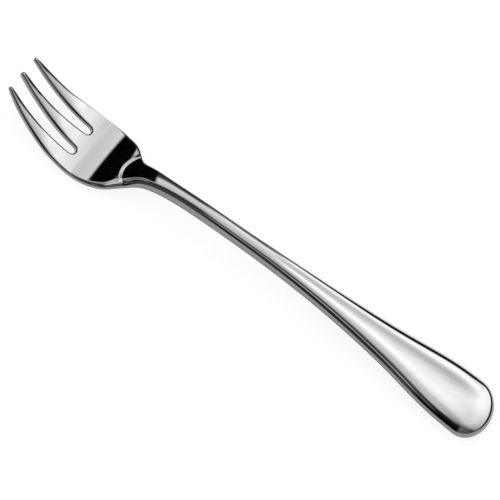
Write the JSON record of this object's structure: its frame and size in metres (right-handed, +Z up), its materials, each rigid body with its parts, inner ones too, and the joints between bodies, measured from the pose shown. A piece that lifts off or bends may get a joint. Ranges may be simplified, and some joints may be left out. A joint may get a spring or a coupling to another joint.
{
  "type": "oyster fork",
  "caption": "Polished stainless steel oyster fork with three short tines, a slim neck and a broad rounded handle.",
  "frame": {"origin": "on the table plane under the middle of the fork's box, as it lies with the tines curving up", "axes": "+X from the tine tips to the end of the handle, +Y across the fork, +Z up from the table"},
  "size_m": [0.1456, 0.02, 0.0119],
  "materials": {
    "polished_steel": "mirror-polished stainless steel with fine wiping marks"
  },
  "bodies": {
    "root": {"fork": "polished_steel"}
  },
  "joints": []
}
